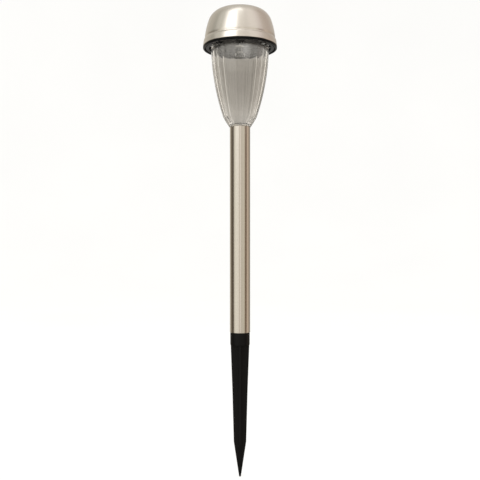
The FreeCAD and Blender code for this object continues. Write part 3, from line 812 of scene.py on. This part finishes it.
# Bands that the cap's side mirrors.
ROOM_HIGH = [
    (-180, (0.66, 0.62, 0.56)),
    (-120, (0.57, 0.53, 0.46)),
    (-98, (0.46, 0.44, 0.38)),
    (-82, (0.70, 0.67, 0.60)),
    (-68, (0.62, 0.60, 0.53)),
    (-58, (1.0, 0.95, 0.86)),
    (-46, (2.0, 1.95, 1.9)),
    (-18, (2.0, 1.95, 1.9)),
    (-6, (0.98, 0.93, 0.85)),
    (6, (0.86, 0.80, 0.72)),
    (20, (0.84, 0.78, 0.71)),
    (42, (0.92, 0.85, 0.78)),
    (58, (0.90, 0.83, 0.76)),
    (74, (0.80, 0.71, 0.66)),
    (90, (0.62, 0.54, 0.47)),
    (108, (0.54, 0.46, 0.40)),
    (180, (0.66, 0.62, 0.56)),
]
# Bands that the cap's crown mirrors.
ROOM_TOP = [
    (-180, (0.62, 0.58, 0.52)),
    (-90, (0.62, 0.58, 0.52)),
    (-62, (0.90, 0.86, 0.78)),
    (-42, (1.60, 1.55, 1.48)),
    (8, (1.60, 1.55, 1.48)),
    (30, (0.92, 0.86, 0.79)),
    (60, (0.95, 0.89, 0.82)),
    (100, (0.72, 0.66, 0.59)),
    (180, (0.62, 0.58, 0.52)),
]
# Bands seen through the lens.
ROOM_BEHIND = [
    (-180, (0.40, 0.37, 0.33)),
    (-170, (0.44, 0.41, 0.37)),
    (-160, (1.25, 1.17, 1.05)),
    (-152, (0.30, 0.28, 0.25)),
    (-143, (1.45, 1.36, 1.22)),
    (-128, (1.40, 1.32, 1.20)),
    (-119, (0.40, 0.38, 0.34)),
    (-108, (1.40, 1.32, 1.20)),
    (-90, (1.10, 1.04, 0.94)),
    (-62, (0.60, 0.56, 0.50)),
    (-50, (0.75, 0.70, 0.63)),
    (-20, (0.80, 0.75, 0.68)),
    (0, (0.42, 0.39, 0.35)),
    (20, (0.80, 0.75, 0.68)),
    (50, (0.75, 0.70, 0.63)),
    (62, (0.60, 0.56, 0.50)),
    (90, (1.10, 1.04, 0.94)),
    (106, (1.40, 1.32, 1.20)),
    (117, (0.40, 0.38, 0.34)),
    (128, (1.35, 1.26, 1.13)),
    (142, (1.35, 1.26, 1.13)),
    (151, (0.25, 0.23, 0.20)),
    (161, (1.05, 0.98, 0.88)),
    (171, (0.36, 0.33, 0.29)),
    (180, (0.40, 0.37, 0.33)),
]


def studio_world():
    """A pale room for the metal to mirror, of upright bands: a tall window at the left and darker gaps.

    Rays that have passed through the lens see bands of their own behind a curtain."""
    world = bpy.data.worlds.new("studio")
    world.use_nodes = True
    bpy.context.scene.world = world
    n = Nodes(world.node_tree)
    ray_place = n.add("ShaderNodeTexCoord").outputs["Generated"]
    ray = n.add("ShaderNodeSeparateXYZ", {"Vector": ray_place})
    front = n.math("MULTIPLY", ray.outputs["Y"], -1.0)
    azimuth = n.math("ARCTAN2", ray.outputs["X"], front)
    share = n.math("ADD", n.math("DIVIDE", azimuth, TURN), 0.5)

    def bands(stops):
        return n.ramp(share, [(0.5 + degrees / 360, colour) for degrees, colour in stops], "EASE")

    def rise(start, end):
        """0 for rays that point lower than start and 1 above end, both as the ray's own Z."""
        span = {"Value": ray.outputs["Z"], "From Min": start, "From Max": end, "To Min": 0.0, "To Max": 1.0}
        return n.add("ShaderNodeMapRange", span, interpolation_type="SMOOTHSTEP").outputs[0]

    low = n.blend(rise(-0.75, -0.4), (0.12, 0.11, 0.10), bands(ROOM_LOW))
    high = n.blend(rise(0.78, 0.94), bands(ROOM_HIGH), bands(ROOM_TOP))
    room = n.blend(rise(0.20, 0.38), low, high)
    drape = n.add("ShaderNodeMapping", {"Vector": ray_place, "Scale": (1, 1, 0.02)}).outputs["Vector"]
    curtain = n.spread(n.noise(drape, 5.5, 2, 0.5), -0.5, 0.95)
    beyond = n.blend(curtain, bands(ROOM_BEHIND), (0.02, 0.02, 0.02))
    path = n.add("ShaderNodeLightPath")
    seen = n.blend(path.outputs["Is Transmission Ray"], room, beyond)
    seen = n.blend(path.outputs["Is Diffuse Ray"], seen, (0.9, 0.9, 0.9))
    background = n.add("ShaderNodeBackground", {"Color": seen, "Strength": 1.0})
    n.add("ShaderNodeOutputWorld", {"Surface": background.outputs[0]})


def studio_floor():
    """A pale floor that turns up into a wall all round. It glows a little, so that it looks even."""
    material, n = new_material("studio_floor")
    tone = n.noise(n.place(), 3, 2)
    n.surface(
        Base_Color=n.blend(tone, (0.20, 0.20, 0.20), (0.24, 0.24, 0.24)),
        Roughness=0.9,
        Specular_IOR_Level=0.1,
        Emission_Color=(0.975, 0.970, 0.950, 1),
        Emission_Strength=0.76,
    )
    wall, height, bend = 2200.0, 3000.0, 900.0
    outline = soften([(wall, GROUND + height), (wall, GROUND, bend), (0, GROUND)], closed=False, steps=24)
    points, faces = turned(outline, 96, closed=False)
    mesh = bpy.data.meshes.new("studio_floor")
    mesh.from_pydata([Vector(p) * MM for p in points], [], faces)
    mesh.materials.append(material)
    mesh.shade_smooth()
    bowl = bpy.data.objects.new("studio_floor", mesh)
    bpy.context.scene.collection.objects.link(bowl)
    bowl.visible_glossy = False
    bowl.visible_transmission = False
    bowl.visible_shadow = False


def softbox(name, place, aim, size, power, colour=(1, 1, 1)):
    """A square area light in millimetres that lights without being mirrored."""
    light = bpy.data.lights.new(name, "AREA")
    light.size = size * MM
    light.energy = power
    light.color = colour
    lamp = bpy.data.objects.new(name, light)
    lamp.location = Vector(place) * MM
    lamp.rotation_euler = (Vector(aim) - Vector(place)).to_track_quat("-Z", "Y").to_euler()
    lamp.visible_glossy = False
    lamp.visible_transmission = False
    bpy.context.scene.collection.objects.link(lamp)


def studio_lights():
    """Three large soft lights: a key at the left front, a fill at the right and one overhead."""
    middle = (0, 0, (CROWN + GROUND) / 2)
    softbox("key", (-700, -900, 900), middle, 900, 8, (1.0, 0.98, 0.95))
    softbox("fill", (900, -500, 500), middle, 900, 3, (0.96, 0.98, 1.0))
    softbox("top", (0, 200, 1500), middle, 1400, 6)


def camera():
    """Looks straight at the light's front, level with the middle of the post."""
    eye_level, distance, tilt = 75.9, 527.6, math.radians(0.37)
    data = bpy.data.cameras.new("camera")
    data.lens = 50.3
    data.sensor_width = 36
    data.clip_start, data.clip_end = 0.02, 20
    eye = bpy.data.objects.new("camera", data)
    eye.location = Vector((0, -distance, eye_level)) * MM
    eye.rotation_euler = (math.pi / 2 - tilt, 0, 0)
    bpy.context.scene.collection.objects.link(eye)
    bpy.context.scene.camera = eye
    bpy.context.scene.view_settings.view_transform = "Standard"


# ---------------------------------------------------------------- the light

dress_cad_nodes()
cap_skin()
glaze_dome()
lens_bowl()
lens_loops()
post_skin()
spike_fins()
spike_collar()
lamp_anvil()
studio_world()
studio_floor()
studio_lights()
camera()
